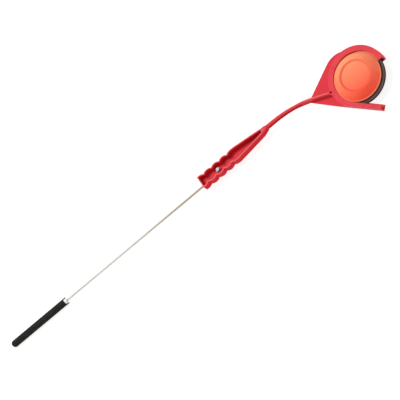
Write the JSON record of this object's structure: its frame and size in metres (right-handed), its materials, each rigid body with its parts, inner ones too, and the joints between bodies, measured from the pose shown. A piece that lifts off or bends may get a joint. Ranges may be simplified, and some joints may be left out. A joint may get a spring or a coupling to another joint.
{
  "type": "clay target thrower",
  "caption": "Hand-held thrower with a thin rod, a soft grip, a notched handle and an open ring head whose sprung finger holds a domed clay target.",
  "frame": {"origin": "on the axis of the seated clay target, in the plane that the underside of the grip lies on", "axes": "+X along the rod and handle from the grip to the head, +Z the side that the dome of the target faces, +Y the side of the head away from the throwing rail"},
  "size_m": [0.9054, 0.158, 0.0376],
  "materials": {
    "red_plastic": "injection-moulded nylon, satin",
    "rod_metal": "drawn and plated",
    "screw_metal": "zinc plated",
    "core_plastic": "matt white",
    "grip_rubber": "soft, matt",
    "target_clay": "pitch and limestone, orange paint on the dome, bare dark skirt"
  },
  "bodies": {
    "thrower": {"seat_ring": "red_plastic", "head_web": "red_plastic", "throwing_rail": "red_plastic", "hang_boss": "red_plastic", "neck_arm": "red_plastic", "handle_shell": "red_plastic", "throwing_rod": "rod_metal", "clamp_screw": "screw_metal", "screw_washer": "screw_metal", "nut_washer": "screw_metal", "lock_nut": "screw_metal", "grip_core": "core_plastic", "grip_sleeve": "grip_rubber", "rod_push_nut": "screw_metal"},
    "finger": {"spring_finger": "red_plastic"},
    "target": {"clay_target": "target_clay"}
  },
  "joints": [
    {"name": "target_slide", "type": "slide", "parent": "thrower", "child": "target", "axis": [0.6909, -0.723, 0], "range_m": [0, 0.044]},
    {"name": "finger_flex", "type": "hinge", "parent": "thrower", "child": "finger", "pos_m": [0.00241, 0.06899, 0.019], "axis": [0, 0, 1], "range_deg": [0, 15], "stiffness_Nm_per_rad": 3}
  ],
  "couplings": [
    {"joint": "finger_flex", "follows": "target_slide", "rad_per_m": 5.8}
  ]
}
